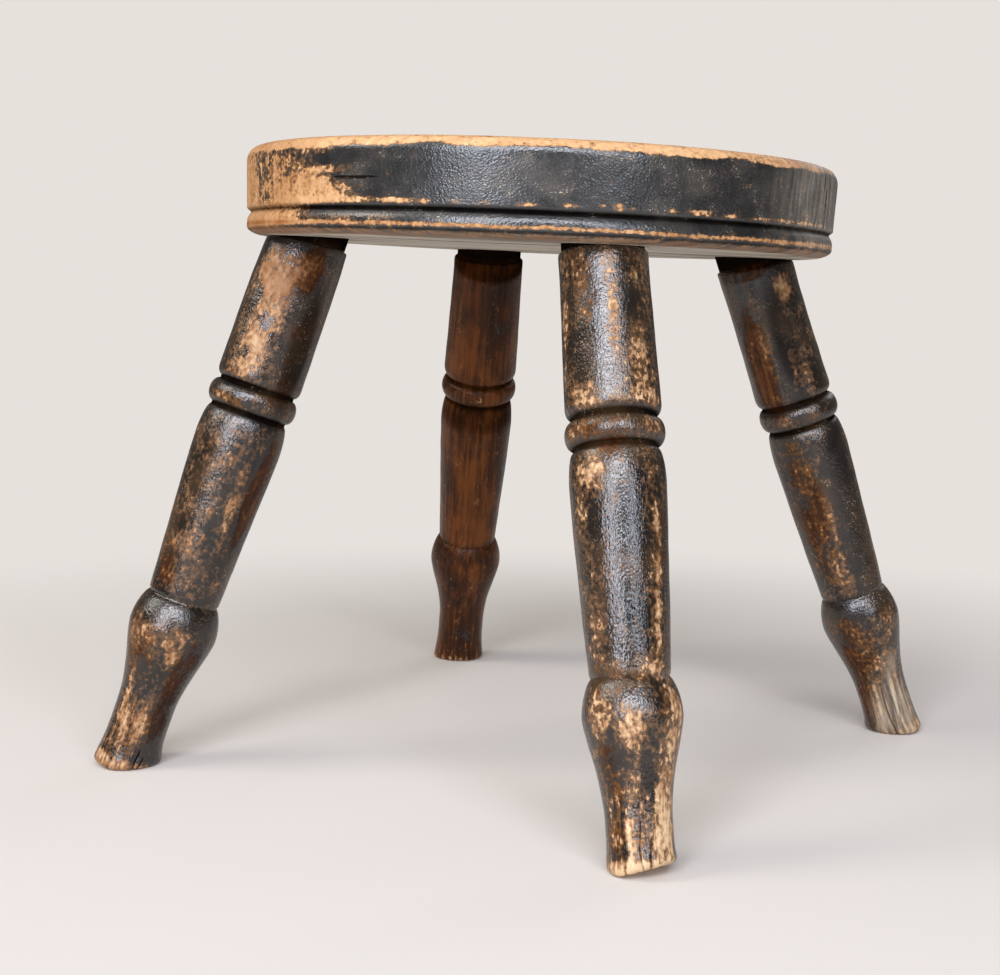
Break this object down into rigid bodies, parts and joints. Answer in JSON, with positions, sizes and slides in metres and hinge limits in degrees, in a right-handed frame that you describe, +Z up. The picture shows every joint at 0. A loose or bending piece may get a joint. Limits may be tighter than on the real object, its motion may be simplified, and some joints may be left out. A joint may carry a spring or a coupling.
{
  "type": "fireside stool",
  "caption": "Low round wooden stool on splayed turned legs, wedged through the seat, with a worn black finish.",
  "frame": {"origin": "on the floor, midway between the outermost feet", "axes": "+Z up; +X to the two right-hand legs and +Y to the two rear legs, seen from the side that the front leg of the picture stands on"},
  "size_m": [0.2611, 0.2655, 0.2424],
  "materials": {
    "seat_finish": "ebonised, waxed and heavily worn to the wood",
    "leg_finish": "ebonised, waxed and worn to the wood in streaks",
    "wedge_wood": "bare hardwood, darkened and flush with the seat"
  },
  "bodies": {
    "root": {"seat": "seat_finish", "leg_left": "leg_finish", "leg_back": "leg_finish", "leg_front": "leg_finish", "leg_right": "leg_finish", "wedge_left": "wedge_wood", "wedge_back": "wedge_wood", "wedge_front": "wedge_wood", "wedge_right": "wedge_wood"}
  },
  "joints": []
}
